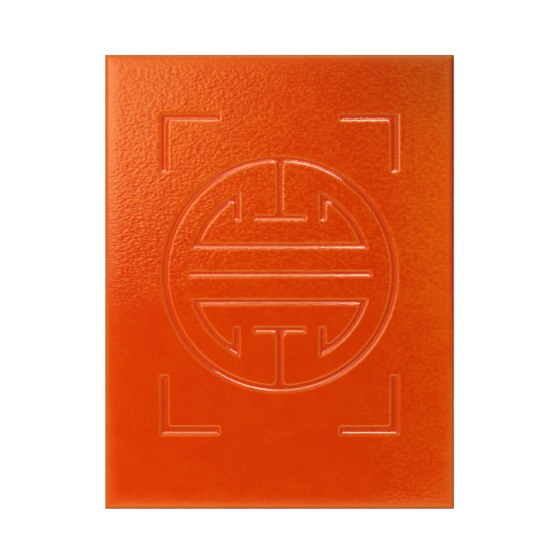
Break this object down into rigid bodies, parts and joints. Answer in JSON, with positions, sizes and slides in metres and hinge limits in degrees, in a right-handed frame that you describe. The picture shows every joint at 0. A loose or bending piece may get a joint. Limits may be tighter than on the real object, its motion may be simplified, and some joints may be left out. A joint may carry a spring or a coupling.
{
  "type": "glazed eaves tile",
  "caption": "Flat rectangular glazed clay tile for the eaves, its face sunk with a round longevity medallion between right-angled corner brackets.",
  "frame": {"origin": "centre of the plain back, on the surface that the tile lies on", "axes": "+Z out of the decorated face, +Y along the long side towards the tile's head, +X across, to the right when the face is seen with its head up"},
  "size_m": [0.2, 0.26, 0.013],
  "materials": {
    "glazed_clay": "deep red-orange gloss glaze over pressed terracotta"
  },
  "bodies": {
    "root": {"eaves_tile": "glazed_clay"}
  },
  "joints": []
}
